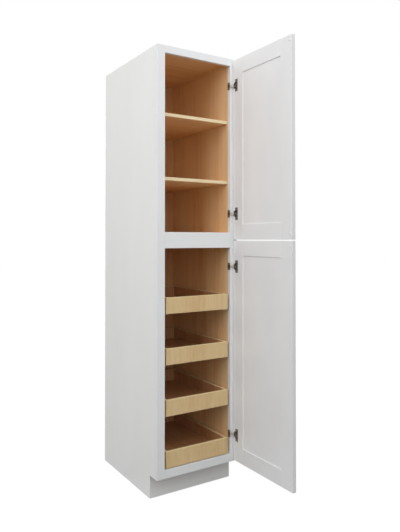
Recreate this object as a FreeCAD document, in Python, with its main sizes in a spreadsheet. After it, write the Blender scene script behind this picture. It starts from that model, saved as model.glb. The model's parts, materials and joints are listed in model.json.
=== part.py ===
import FreeCAD, Part
import operator
import os
import Sketcher

# Tall utility cabinet with a face frame, two doors on cup hinges, two shelves and four roll out trays
# The origin is where the middle of the back meets the floor: +X right, +Y to the wall, +Z up
# It is shown with both doors a quarter turn open and the trays in

doc = FreeCAD.newDocument("tall_utility_cabinet")

# Driving dimensions in millimetres, and angles in degrees
SIZES = (
    ("cabinet_width", 457.2, "outside width of the face frame"),
    ("cabinet_depth", 609.6, "from the wall to the front of the face frame"),
    ("cabinet_height", 2133.6, "from the floor to the top"),
    ("toe_height", 108.0, "floor to the underside of the face frame"),
    ("toe_depth", 70.0, "front of the face frame back to the toe kick"),
    ("toe_board_thickness", 12.7, "toe kick board"),
    ("side_thickness", 12.7, "plywood side panels"),
    ("liner_thickness", 9.5, "inner side panels, flush with the opening of the face frame"),
    ("batten_width", 40.0, "battens between the side panels and the inner ones"),
    ("deck_thickness", 12.7, "top panel and the two fixed decks"),
    ("dado_depth", 4.8, "how far decks and back are let into the sides"),
    ("back_thickness", 6.4, "back panel"),
    ("hanging_rail_height", 76.2, "rails behind the back panel that take the wall screws"),
    ("hanging_rail_thickness", 19.05, "the same rails and the board under them, front to back"),
    ("frame_thickness", 19.05, "face frame, front to back"),
    ("stile_width", 41.3, "upright members of the face frame"),
    ("top_rail_height", 35.0, "top rail of the face frame"),
    ("middle_rail_height", 76.2, "rail between the two doors"),
    ("bottom_rail_height", 38.1, "rail under the lower opening"),
    ("middle_rail_rise", 1178.5, "floor to the underside of the middle rail"),
    ("frame_tenon_length", 9.5, "stub tenons of the face frame rails"),
    ("frame_tenon_thickness", 6.4, "the same tenons, front to back"),
    ("frame_tenon_shoulder", 6.4, "step above and below each tenon"),
    ("shelf_thickness", 15.9, "adjustable shelves"),
    ("shelf_setback", 6.0, "face frame back to the shelf edge"),
    ("shelf_side_gap", 1.0, "shelf end to inner side panel"),
    ("shelf_back_gap", 3.0, "shelf to back panel"),
    ("lower_shelf_share", 0.2913, "where the lower shelf lies in the height of the upper opening"),
    ("upper_shelf_share", 0.6533, "where the upper shelf lies in the same height"),
    ("pin_diameter", 5.0, "shelf pins and their holes"),
    ("pin_hole_depth", 9.0, "into the inner side panel"),
    ("pin_tab_reach", 8.0, "how far a pin stands into the cabinet"),
    ("pin_tab_width", 8.0, "the tab under the shelf, front to back"),
    ("pin_tab_thickness", 2.0, "the same tab, top to bottom"),
    ("pin_collar_drop", 7.5, "plate of the pin that lies on the inner side panel"),
    ("pin_inset", 60.0, "shelf edges to the pins, front and back"),
    ("door_thickness", 19.05, "door stiles and rails"),
    ("door_member_width", 76.2, "door stiles and rails, across"),
    ("door_side_reveal", 9.525, "face frame left bare beside each door"),
    ("door_top_reveal", 7.0, "face frame left bare above the upper door"),
    ("door_bottom_reveal", 6.5, "face frame left bare below the lower door"),
    ("door_middle_gap", 5.0, "between the two doors"),
    ("door_frame_gap", 3.0, "closed door to face frame"),
    ("door_panel_thickness", 6.4, "flat panel of a door"),
    ("door_panel_recess", 4.0, "inner face of a door back to its panel"),
    ("door_groove_depth", 9.5, "grooves and tongues of a door"),
    ("door_panel_float", 0.8, "room for the panel at each groove"),
    ("door_open_angle", 90.0, "how far the doors are shown open"),
    ("hinge_end_distance", 130.0, "door end to the middle of a hinge"),
    ("hinge_pin_inset", 7.0, "door edge to the hinge pin"),
    ("hinge_pin_depth", 7.0, "inner face of the door to the hinge pin"),
    ("hinge_pin_diameter", 2.5, "hinge pin"),
    ("hinge_pin_play", 0.05, "running fit round the hinge pin"),
    ("cup_diameter", 35.0, "bored recess in the door"),
    ("cup_edge_distance", 3.0, "door edge to the cup bore"),
    ("cup_depth", 12.0, "bored recess, deep"),
    ("cup_wall", 0.9, "sheet of the cup"),
    ("cup_flange_thickness", 1.2, "flange on the inner face of the door"),
    ("cup_flange_length", 61.5, "wings of the flange, along the door"),
    ("cup_flange_width", 21.0, "the same wings, across the door"),
    ("cup_lug_thickness", 3.5, "lugs that hold the pin"),
    ("cup_lug_reach", 2.8, "lugs from the pin to the cup's middle, and past it to the mouth"),
    ("cup_lug_lip", 2.0, "lugs from the pin to the door edge, and the way out past the rim"),
    ("arm_tongue_width", 7.0, "tongue of the hinge arm on the pin"),
    ("arm_side_play", 0.4, "tongue to lug"),
    ("arm_thickness", 2.0, "sheet of the hinge arm"),
    ("arm_eye_radius", 2.3, "eye of the arm round the pin"),
    ("arm_width", 12.0, "hinge arm in front of the face frame"),
    ("arm_tongue_reach", 10.0, "pin to where the arm widens"),
    ("arm_plate_length", 36.0, "plate on the stile, top to bottom"),
    ("arm_plate_depth", 18.4, "the same plate, front to back"),
    ("arm_frame_play", 0.5, "arm to the front of the face frame"),
    ("hinge_screw_spacing", 20.0, "two screws in each plate"),
    ("hinge_screw_diameter", 3.2, "screw shank"),
    ("hinge_screw_length", 16.0, "screw shank below its head"),
    ("hinge_screw_head", 6.4, "screw head across"),
    ("hinge_screw_head_height", 1.6, "screw head"),
    ("bumper_diameter", 9.0, "door bumpers"),
    ("bumper_play", 0.4, "bumper to the closed frame"),
    ("bumper_edge_distance", 14.0, "door edges to a bumper"),
    ("bumper_end_distance", 25.0, "door ends to a bumper"),
    ("tray_count", 4, "roll out trays"),
    ("tray_back_gap", 44.75, "tray to back panel"),
    ("tray_height", 77.2, "side boards"),
    ("tray_side_gap", 11.0, "face frame opening to tray, each side"),
    ("tray_setback", 6.0, "front of the face frame back to the tray front"),
    ("tray_first_rise", 4.9, "bottom rail up to the lowest tray"),
    ("tray_pitch", 239.5, "from one tray up to the next"),
    ("tray_board_thickness", 12.7, "tray sides, front and back"),
    ("tray_bottom_thickness", 6.4, "tray bottoms"),
    ("tray_bottom_recess", 12.7, "board edge up to the tray bottom"),
    ("tray_groove_depth", 6.0, "tray bottoms let into their boards"),
    ("slide_sheet", 1.5, "steel of the slides"),
    ("slide_play", 0.4, "between one slide member and the next"),
    ("slide_width", 34.0, "runner, across"),
    ("slide_runner_height", 11.0, "runner, top to bottom"),
    ("slide_web_drop", 3.0, "tray edge down to the underside of the rail"),
    ("slide_flange_height", 31.0, "flange of the rail on the inner side panel"),
    ("slide_hook_length", 1.5, "runner end to the tray front"),
    ("overrun", 5.0, "how far cuts run past a face"),
)


class Length:
    """A size as the sheet knows it: its formula, and the number that it comes to."""

    def __init__(self, formula, number):
        self.formula = formula
        self.number = number

    def __add__(self, other):
        return joined(self, "+", other)

    def __radd__(self, other):
        return joined(other, "+", self)

    def __sub__(self, other):
        return joined(self, "-", other)

    def __rsub__(self, other):
        return joined(other, "-", self)

    def __mul__(self, other):
        return joined(self, "*", other)

    def __rmul__(self, other):
        return joined(other, "*", self)

    def __truediv__(self, other):
        return joined(self, "/", other)

    def __neg__(self):
        return joined(0, "-", self)


SIGNS = {"+": operator.add, "-": operator.sub, "*": operator.mul, "/": operator.truediv}


def length_of(value):
    """Take a plain number as a Length too."""
    if isinstance(value, Length):
        return value
    return Length(str(value), value)


def joined(first, sign, second):
    """Two lengths as one formula and one number."""
    first = length_of(first)
    second = length_of(second)
    formula = "(" + first.formula + " " + sign + " " + second.formula + ")"
    return Length(formula, SIGNS[sign](first.number, second.number))


def write_sheet(rows):
    """Put the sizes in the sheet, a name, a number and a note to a row."""
    sheet = doc.addObject("Spreadsheet::Sheet", "sizes")
    for index, (name, value, note) in enumerate(rows):
        row = str(index + 1)
        sheet.set("A" + row, name)
        sheet.set("B" + row, str(value))
        sheet.set("C" + row, note)
        sheet.setAlias("B" + row, name)
    return {name: Length("sizes." + name, value) for name, value, note in rows}


S = write_sheet(SIZES)
doc.recompute()

# A placement keeps its axis only while it is turned, so each one starts turned
QUARTER_TURN = 90

pieces = []
cuts_made = []


def bind(thing, prop, value):
    """Tie a property of an object to a formula of the sheet's cells."""
    thing.setExpression(prop, length_of(value).formula)


def place(thing, x=0, y=0, z=0, turn=0):
    """Put a finished piece at a place worked out by the sheet, turned about +Z."""
    upright = FreeCAD.Rotation(FreeCAD.Vector(0, 0, 1), QUARTER_TURN)
    thing.Placement = FreeCAD.Placement(FreeCAD.Vector(), upright)
    bind(thing, "Placement.Base.x", x)
    bind(thing, "Placement.Base.y", y)
    bind(thing, "Placement.Base.z", z)
    bind(thing, "Placement.Rotation.Angle", turn)


def keep(thing, label):
    """Name a finished piece and put it on the list of pieces to write."""
    thing.Label = label
    pieces.append(thing)
    return thing


# Outlines are lists of points, and a circle is a centre and a radius
def rectangle(low_u, high_u, low_v, high_v):
    """Four corners, from the low and high edges."""
    return [(low_u, low_v), (high_u, low_v), (high_u, high_v), (low_u, high_v)]


class Circle:
    """A round outline."""

    def __init__(self, u, v, radius):
        self.u = length_of(u)
        self.v = length_of(v)
        self.radius = length_of(radius)


class Prism:
    """Outlines drawn on a plane and carried along its axis, from a start, for a length."""

    def __init__(self, plane, start, length, outlines, cutting):
        self.plane = plane
        self.start = length_of(start)
        self.length = length_of(length)
        self.outlines = outlines
        self.cutting = cutting


def pad(plane, start, length, outlines):
    """Material added along an axis."""
    return Prism(plane, start, length, outlines, False)


def pocket(plane, start, length, outlines):
    """Material taken away along an axis."""
    return Prism(plane, start, length, outlines, True)


def pin_point(sketch, geometry, position, u, v):
    """Hold one point of a sketch at a place worked out by the sheet."""
    for kind, value in (("DistanceX", u), ("DistanceY", v)):
        constraint = Sketcher.Constraint(kind, -1, 1, geometry, position, float(value.number))
        index = sketch.addConstraint(constraint)
        name = kind + str(index)
        sketch.renameConstraint(index, name)
        bind(sketch, "Constraints." + name, value)


def draw(sketch, outline):
    """Draw a closed outline with every corner held in place."""
    if isinstance(outline, Circle):
        centre = FreeCAD.Vector(outline.u.number, outline.v.number, 0)
        circle = Part.Circle(centre, FreeCAD.Vector(0, 0, 1), outline.radius.number)
        geometry = sketch.addGeometry(circle, False)
        pin_point(sketch, geometry, 3, outline.u, outline.v)
        index = sketch.addConstraint(Sketcher.Constraint("Radius", geometry, outline.radius.number))
        name = "Radius" + str(index)
        sketch.renameConstraint(index, name)
        bind(sketch, "Constraints." + name, outline.radius)
        return
    points = [(length_of(u), length_of(v)) for u, v in outline]
    corners = [FreeCAD.Vector(u.number, v.number, 0) for u, v in points]
    lines = [Part.LineSegment(corner, corners[(index + 1) % len(corners)])
             for index, corner in enumerate(corners)]
    first = sketch.GeometryCount
    for line in lines:
        sketch.addGeometry(line, False)
    for index in range(len(lines)):
        following = first + (index + 1) % len(lines)
        sketch.addConstraint(Sketcher.Constraint("Coincident", first + index, 2, following, 1))
    for index, (u, v) in enumerate(points):
        pin_point(sketch, first + index, 1, u, v)


def origin_plane(body, plane):
    """One of a body's own three planes."""
    return [part for part in body.Origin.OriginFeatures if part.Role == plane + "_Plane"][0]


def draw_prism(body, name, prism):
    """Draw a prism's outlines on the plane that it starts from, or ends at where it cuts."""
    sketch = body.newObject("Sketcher::SketchObject", name + "_outline")
    sketch.AttachmentSupport = [(origin_plane(body, prism.plane), "")]
    sketch.MapMode = "FlatFace"
    height = prism.start
    # The front plane looks along -Y, so a prism on it is counted from its far end
    if prism.plane == "XZ":
        height = -prism.start if prism.cutting else -(prism.start + prism.length)
    elif prism.cutting:
        height = prism.start + prism.length
    bind(sketch, "AttachmentOffset.Base.z", height)
    for outline in prism.outlines:
        draw(sketch, outline)
    return sketch


def make_body(label, steps):
    """Build one piece from its pads and pockets, in order."""
    body = doc.addObject("PartDesign::Body", label)
    for index, prism in enumerate(steps):
        name = label + "_step_" + str(index + 1)
        sketch = draw_prism(body, name, prism)
        kind = "PartDesign::Pocket" if prism.cutting else "PartDesign::Pad"
        feature = body.newObject(kind, name)
        feature.Profile = sketch
        bind(feature, "Length", prism.length)
        sketch.Visibility = False
        if prism.cutting:
            cuts_made.append(feature)
    return body


def make_board(label, low_x, low_y, low_z, size_x, size_y, size_z):
    """A plain rectangular board."""
    board = doc.addObject("Part::Box", label)
    bind(board, "Length", size_x)
    bind(board, "Width", size_y)
    bind(board, "Height", size_z)
    place(board, low_x, low_y, low_z)
    return board


def make_group(label, members):
    """Several like solids that share one name."""
    group = doc.addObject("Part::Compound", label)
    group.Links = members
    return group


# Places that several pieces share
OVER = S["overrun"]
LEFT = -S["cabinet_width"] / 2
RIGHT = S["cabinet_width"] / 2
FRONT = -S["cabinet_depth"]
FRAME_BACK = FRONT + S["frame_thickness"]
TOP = length_of(S["cabinet_height"])
INSIDE_LEFT = LEFT + S["side_thickness"]
INSIDE_RIGHT = RIGHT - S["side_thickness"]
OPENING_LEFT = LEFT + S["stile_width"]
OPENING_RIGHT = RIGHT - S["stile_width"]
LINER_LEFT = OPENING_LEFT - S["liner_thickness"]
LINER_RIGHT = OPENING_RIGHT + S["liner_thickness"]
BATTEN_THICKNESS = INSIDE_RIGHT - LINER_RIGHT
BATTEN_LOWS = (INSIDE_LEFT, LINER_RIGHT)
BACK_FACE = -S["hanging_rail_thickness"] - S["back_thickness"]
RAIL_BACK = -S["hanging_rail_thickness"]
LOWER_OPENING_BOTTOM = S["toe_height"] + S["bottom_rail_height"]
MIDDLE_RAIL_TOP = S["middle_rail_rise"] + S["middle_rail_height"]
UPPER_OPENING_TOP = TOP - S["top_rail_height"]
DECK_LEFT = INSIDE_LEFT - S["dado_depth"]
DECK_WIDTH = S["cabinet_width"] - (S["side_thickness"] - S["dado_depth"]) * 2
DECK_LENGTH = BACK_FACE - FRAME_BACK
BOTTOM_DECK_LOW = LOWER_OPENING_BOTTOM - S["deck_thickness"]
MIDDLE_DECK_LOW = MIDDLE_RAIL_TOP - S["deck_thickness"]
TOP_PANEL_LOW = TOP - S["deck_thickness"]
UPPER_OPENING_HEIGHT = UPPER_OPENING_TOP - MIDDLE_RAIL_TOP
SHELF_LOWS = (
    MIDDLE_RAIL_TOP + UPPER_OPENING_HEIGHT * S["lower_shelf_share"],
    MIDDLE_RAIL_TOP + UPPER_OPENING_HEIGHT * S["upper_shelf_share"],
)
SHELF_FRONT = FRAME_BACK + S["shelf_setback"]
SHELF_BACK = BACK_FACE - S["shelf_back_gap"]
PIN_PLACES = (SHELF_FRONT + S["pin_inset"], SHELF_BACK - S["pin_inset"])
PIN_AXIS_DROP = S["pin_tab_thickness"] + S["pin_diameter"] / 2

# Doors are drawn closed, about their hinge pin, and then turned open
PIN_X = RIGHT - S["door_side_reveal"] - S["hinge_pin_inset"]
PIN_Y = FRONT - S["door_frame_gap"] - S["hinge_pin_depth"]
DOOR_HINGE_EDGE = length_of(S["hinge_pin_inset"])
DOOR_WIDTH = S["cabinet_width"] - S["door_side_reveal"] * 2
DOOR_FREE_EDGE = DOOR_HINGE_EDGE - DOOR_WIDTH
DOOR_INNER_FACE = length_of(S["hinge_pin_depth"])
DOOR_OUTER_FACE = DOOR_INNER_FACE - S["door_thickness"]
DOOR_SPLIT = S["middle_rail_rise"] + S["middle_rail_height"] / 2
LOWER_DOOR_BOTTOM = S["toe_height"] + S["door_bottom_reveal"]
LOWER_DOOR_TOP = DOOR_SPLIT - S["door_middle_gap"] / 2
UPPER_DOOR_BOTTOM = DOOR_SPLIT + S["door_middle_gap"] / 2
UPPER_DOOR_TOP = TOP - S["door_top_reveal"]
DOORS = (
    ("upper_door", UPPER_DOOR_BOTTOM, UPPER_DOOR_TOP),
    ("lower_door", LOWER_DOOR_BOTTOM, LOWER_DOOR_TOP),
)
HINGE_DISTANCE = S["hinge_end_distance"]
HINGE_HEIGHTS = []
for door_name, door_low, door_high in DOORS:
    HINGE_HEIGHTS.append(door_low + HINGE_DISTANCE)
    HINGE_HEIGHTS.append(door_high - HINGE_DISTANCE)

# Trays
TRAY_LEFT = OPENING_LEFT + S["tray_side_gap"]
TRAY_RIGHT = OPENING_RIGHT - S["tray_side_gap"]
TRAY_FRONT = FRONT + S["tray_setback"]
TRAY_BACK = BACK_FACE - S["tray_back_gap"]
SLIDE_LENGTH = TRAY_BACK - TRAY_FRONT - S["tray_board_thickness"] * 2
TRAY_COUNT = int(S["tray_count"].number)
RUNNER_LEFT = TRAY_LEFT + S["tray_board_thickness"] + S["slide_play"]
RUNNER_RIGHT = TRAY_RIGHT - S["tray_board_thickness"] - S["slide_play"]
LEFT_RUNNER_SPAN = (RUNNER_LEFT, RUNNER_LEFT + S["slide_width"])
RIGHT_RUNNER_SPAN = (RUNNER_RIGHT - S["slide_width"], RUNNER_RIGHT)
FIRST_TRAY_LOW = LOWER_OPENING_BOTTOM + S["tray_first_rise"]
TRAY_LOWS = [FIRST_TRAY_LOW + S["tray_pitch"] * index for index in range(TRAY_COUNT)]


# Carcass
def side_panel(label, low_x, inner_x, into):
    """A full height side with a toe notch, dados for the decks and a groove for the back."""
    outline = [
        (FRAME_BACK, S["toe_height"]),
        (FRONT + S["toe_depth"], S["toe_height"]),
        (FRONT + S["toe_depth"], 0),
        (0, 0),
        (0, TOP),
        (FRAME_BACK, TOP),
    ]
    slots = [rectangle(FRAME_BACK - OVER, BACK_FACE, low, low + S["deck_thickness"])
             for low in (BOTTOM_DECK_LOW, MIDDLE_DECK_LOW)]
    slots.append(rectangle(FRAME_BACK - OVER, BACK_FACE, TOP_PANEL_LOW, TOP + OVER))
    back_slot = rectangle(BACK_FACE, RAIL_BACK, BOTTOM_DECK_LOW, TOP + OVER)
    dado_start = inner_x if into > 0 else inner_x - S["dado_depth"]
    keep(make_body(label, [
        pad("YZ", low_x, S["side_thickness"], [outline]),
        pocket("YZ", dado_start, S["dado_depth"], slots),
        pocket("YZ", dado_start, S["dado_depth"], [back_slot]),
    ]), label)


def side_liner(low_x, hole_start, low_z, high_z, shelf_lows):
    """An inner side panel between two decks, with a pin hole under each shelf at its front and back."""
    face = rectangle(FRAME_BACK, BACK_FACE, low_z, high_z)
    steps = [pad("YZ", low_x, S["liner_thickness"], [face])]
    holes = [Circle(y, low - PIN_AXIS_DROP, S["pin_diameter"] / 2)
             for low in shelf_lows for y in PIN_PLACES]
    if holes:
        steps.append(pocket("YZ", hole_start, S["pin_hole_depth"], holes))
    return make_body("side_liner", steps)


def build_liners():
    """Inner side panels above and below the middle deck, and the battens that they are fixed to."""
    liners = []
    battens = []
    hole_starts = (OPENING_LEFT - S["pin_hole_depth"], OPENING_RIGHT)
    for liner_x, hole_start, batten_x in zip((LINER_LEFT, OPENING_RIGHT), hole_starts, BATTEN_LOWS):
        liners.append(side_liner(liner_x, hole_start, MIDDLE_RAIL_TOP, TOP_PANEL_LOW, SHELF_LOWS))
        liners.append(side_liner(liner_x, hole_start, LOWER_OPENING_BOTTOM, MIDDLE_DECK_LOW, ()))
        for y in PIN_PLACES:
            upright = make_board("upright_batten", batten_x, y - S["batten_width"] / 2, MIDDLE_RAIL_TOP,
                                 BATTEN_THICKNESS, S["batten_width"], TOP_PANEL_LOW - MIDDLE_RAIL_TOP)
            battens.append(upright)
        for low_z in TRAY_LOWS:
            level = make_board("level_batten", batten_x, FRAME_BACK, low_z - S["slide_web_drop"],
                               BATTEN_THICKNESS, DECK_LENGTH, S["batten_width"])
            battens.append(level)
    keep(make_group("side_liners", liners), "side_liners")
    keep(make_group("liner_battens", battens), "liner_battens")


def build_carcass():
    """Sides, decks, back, the toe kick and the rails behind the back."""
    side_panel("left_side_panel", LEFT, INSIDE_LEFT, -1)
    side_panel("right_side_panel", INSIDE_RIGHT, INSIDE_RIGHT, 1)
    for label, low_z in (
        ("top_panel", TOP_PANEL_LOW),
        ("middle_deck", MIDDLE_DECK_LOW),
        ("bottom_deck", BOTTOM_DECK_LOW),
    ):
        deck = make_board(label, DECK_LEFT, FRAME_BACK, low_z, DECK_WIDTH, DECK_LENGTH, S["deck_thickness"])
        keep(deck, label)
    back_height = TOP - BOTTOM_DECK_LOW
    back = make_board("back_panel", DECK_LEFT, BACK_FACE, BOTTOM_DECK_LOW, DECK_WIDTH, S["back_thickness"],
                      back_height)
    keep(back, "back_panel")
    inside_width = INSIDE_RIGHT - INSIDE_LEFT
    toe = make_board("toe_kick_board", INSIDE_LEFT, FRONT + S["toe_depth"], 0, inside_width,
                     S["toe_board_thickness"], BOTTOM_DECK_LOW)
    keep(toe, "toe_kick_board")
    rails = []
    for low_z, height in (
        (0, BOTTOM_DECK_LOW),
        (BOTTOM_DECK_LOW, S["hanging_rail_height"]),
        (TOP - S["hanging_rail_height"], S["hanging_rail_height"]),
    ):
        rail = make_board("back_rail", INSIDE_LEFT, RAIL_BACK, low_z, inside_width,
                          S["hanging_rail_thickness"], height)
        rails.append(rail)
    keep(make_group("back_rails", rails), "back_rails")


# Face frame
RAILS = (
    ("bottom_rail", S["toe_height"], S["bottom_rail_height"]),
    ("middle_rail", S["middle_rail_rise"], S["middle_rail_height"]),
    ("top_rail", UPPER_OPENING_TOP, S["top_rail_height"]),
)
TENON_FRONT = FRONT + (S["frame_thickness"] - S["frame_tenon_thickness"]) / 2


def tenon_outline(low_x, high_x, low_z, height):
    """The tenon of a rail, or its mortise, seen from the front."""
    shoulder = S["frame_tenon_shoulder"]
    return rectangle(low_x, high_x, low_z + shoulder, low_z + height - shoulder)


def build_face_frame():
    """Two stiles with mortises, three rails with tenons, and pilot holes for the hinge plates."""
    height = TOP - S["toe_height"]
    for label, low_x, mortise_x in (
        ("left_stile", LEFT, OPENING_LEFT - S["frame_tenon_length"]),
        ("right_stile", OPENING_RIGHT, OPENING_RIGHT),
    ):
        outline = rectangle(low_x, low_x + S["stile_width"], FRONT, FRAME_BACK)
        mortises = [tenon_outline(mortise_x, mortise_x + S["frame_tenon_length"], low, size)
                    for rail, low, size in RAILS]
        steps = [
            pad("XY", S["toe_height"], height, [outline]),
            pocket("XZ", TENON_FRONT, S["frame_tenon_thickness"], mortises),
        ]
        if label == "right_stile":
            holes = [Circle(SCREW_Y, z, S["hinge_screw_diameter"] / 2) for z in SCREW_HEIGHTS]
            steps.append(pocket("YZ", OPENING_RIGHT, SCREW_SHANK_DEPTH, holes))
        keep(make_body(label, steps), label)
    tenon = S["frame_tenon_length"]
    for label, low, size in RAILS:
        face = rectangle(OPENING_LEFT, OPENING_RIGHT, low, low + size)
        rail = pad("XZ", FRONT, S["frame_thickness"], [face])
        through = tenon_outline(OPENING_LEFT - tenon, OPENING_RIGHT + tenon, low, size)
        tenons = pad("XZ", TENON_FRONT, S["frame_tenon_thickness"], [through])
        keep(make_body(label, [rail, tenons]), label)


# Shelves and their pins
def shelf_pin(label, wall_x, into, y, low_z):
    """A pin in the inner side panel with a plate against the panel and a tab under the shelf."""
    axis_z = low_z - PIN_AXIS_DROP
    shank_start = wall_x if into < 0 else wall_x - S["pin_hole_depth"]
    tab_start = wall_x - S["pin_tab_reach"] if into < 0 else wall_x
    plate_start = wall_x - S["pin_tab_thickness"] if into < 0 else wall_x
    half = S["pin_tab_width"] / 2
    tab = rectangle(y - half, y + half, low_z - S["pin_tab_thickness"], low_z)
    plate = rectangle(y - half, y + half, low_z - S["pin_collar_drop"], low_z)
    return make_body(label, [
        pad("YZ", plate_start, S["pin_tab_thickness"], [plate]),
        pad("YZ", tab_start, S["pin_tab_reach"], [tab]),
        pad("YZ", shank_start, S["pin_hole_depth"], [Circle(y, axis_z, S["pin_diameter"] / 2)]),
    ])


def build_shelves():
    """Two adjustable shelves, each on four pins."""
    pins = []
    start = OPENING_LEFT + S["shelf_side_gap"]
    width = OPENING_RIGHT - OPENING_LEFT - S["shelf_side_gap"] * 2
    for label, low_z in zip(("lower_shelf", "upper_shelf"), SHELF_LOWS):
        shelf = make_board(label, start, SHELF_FRONT, low_z, width, SHELF_BACK - SHELF_FRONT,
                           S["shelf_thickness"])
        keep(shelf, label)
        for y in PIN_PLACES:
            pins.append(shelf_pin("shelf_pin", OPENING_LEFT, 1, y, low_z))
            pins.append(shelf_pin("shelf_pin", OPENING_RIGHT, -1, y, low_z))
    keep(make_group("shelf_pins", pins), "shelf_pins")


# Hinges
PLATE_X = OPENING_RIGHT - S["arm_thickness"]
PLATE_FRONT = FRONT + S["arm_frame_play"]
SCREW_Y = PLATE_FRONT + S["arm_plate_depth"] / 2
SCREW_SHANK_DEPTH = S["hinge_screw_length"] - S["arm_thickness"]
SCREW_HEIGHTS = [height + S["hinge_screw_spacing"] * side / 2 for height in HINGE_HEIGHTS
                 for side in (-1, 1)]
CUP_CENTRE = DOOR_HINGE_EDGE - S["cup_edge_distance"] - S["cup_diameter"] / 2


def hinge_arm(height):
    """A bent steel arm: an eye on the pin, a tongue, a wide strap and a plate on the stile."""
    half = S["arm_thickness"] / 2
    reach = PIN_X - S["arm_tongue_reach"]
    bend_front = PLATE_FRONT - S["arm_thickness"] - S["arm_frame_play"]
    tongue = rectangle(reach - half, PIN_X, PIN_Y - half, PIN_Y + half)
    strap = [
        (reach, PIN_Y - half),
        (reach, PIN_Y + half),
        (OPENING_RIGHT, bend_front + half),
        (OPENING_RIGHT, PLATE_FRONT + half),
        (PLATE_X, PLATE_FRONT + half),
        (PLATE_X, bend_front - half),
    ]
    plate = rectangle(PLATE_X, OPENING_RIGHT, PLATE_FRONT, PLATE_FRONT + S["arm_plate_depth"])
    eye = Circle(PIN_X, PIN_Y, S["arm_eye_radius"])
    bore = Circle(PIN_X, PIN_Y, S["hinge_pin_diameter"] / 2)
    hole_radius = S["hinge_screw_diameter"] / 2
    screw_holes = [Circle(SCREW_Y, height + S["hinge_screw_spacing"] * side / 2, hole_radius)
                   for side in (-1, 1)]
    tongue_low = height - S["arm_tongue_width"] / 2
    strap_low = height - S["arm_width"] / 2
    plate_low = height - S["arm_plate_length"] / 2
    return make_body("hinge_arm", [
        pad("XY", tongue_low, S["arm_tongue_width"], [eye]),
        pad("XY", tongue_low, S["arm_tongue_width"], [tongue]),
        pad("XY", strap_low, S["arm_width"], [strap]),
        pad("XY", plate_low, S["arm_plate_length"], [plate]),
        pocket("XY", tongue_low, S["arm_tongue_width"], [bore]),
        pocket("YZ", PLATE_X, S["arm_thickness"], screw_holes),
    ])


def hinge_screw(height):
    """A pan head screw through the plate into the stile."""
    head = Circle(SCREW_Y, height, S["hinge_screw_head"] / 2)
    shank = Circle(SCREW_Y, height, S["hinge_screw_diameter"] / 2)
    return make_body("hinge_screw", [
        pad("YZ", PLATE_X - S["hinge_screw_head_height"], S["hinge_screw_head_height"], [head]),
        pad("YZ", PLATE_X, S["hinge_screw_length"], [shank]),
    ])


PIN_HALF_LENGTH = S["arm_tongue_width"] / 2 + S["arm_side_play"] + S["cup_lug_thickness"]


def hinge_pin(height):
    """The pin that the arm holds and the cup turns on."""
    pin = Circle(PIN_X, PIN_Y, S["hinge_pin_diameter"] / 2)
    return make_body("hinge_pin", [pad("XY", height - PIN_HALF_LENGTH, PIN_HALF_LENGTH * 2, [pin])])


def hinge_cup(height):
    """A cup let into the door, with two wings on the door's face and two lugs that take the pin."""
    outer = S["cup_diameter"] / 2
    inner = outer - S["cup_wall"]
    wing = S["cup_flange_length"] / 2
    far = CUP_CENTRE - outer
    near = DOOR_HINGE_EDGE - S["cup_edge_distance"]
    wings = rectangle(far, far + S["cup_flange_width"], height - wing, height + wing)
    lug_inner = S["arm_tongue_width"] / 2 + S["arm_side_play"]
    reach = S["cup_lug_reach"]
    lugs = [rectangle(-reach, S["cup_lug_lip"], low, low + S["cup_lug_thickness"])
            for low in (height + lug_inner, height - PIN_HALF_LENGTH)]
    flange = S["cup_flange_thickness"]
    bottom = DOOR_INNER_FACE - S["cup_depth"]
    floor = bottom + S["cup_wall"]
    bore = Circle(0, 0, S["hinge_pin_diameter"] / 2 + S["hinge_pin_play"])
    way_out = rectangle(0, near + S["cup_lug_lip"], height - lug_inner, height + lug_inner)
    return make_body("hinge_cup", [
        pad("XZ", bottom, S["cup_depth"] + flange, [Circle(CUP_CENTRE, height, outer)]),
        pad("XZ", DOOR_INNER_FACE, flange, [wings]),
        pocket("XZ", floor, DOOR_INNER_FACE + flange - floor, [Circle(CUP_CENTRE, height, inner)]),
        pad("XZ", floor, reach - floor, lugs),
        pocket("XZ", DOOR_INNER_FACE - reach, flange + reach, [way_out]),
        pocket("XY", height - PIN_HALF_LENGTH, PIN_HALF_LENGTH * 2, [bore]),
    ])


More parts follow.
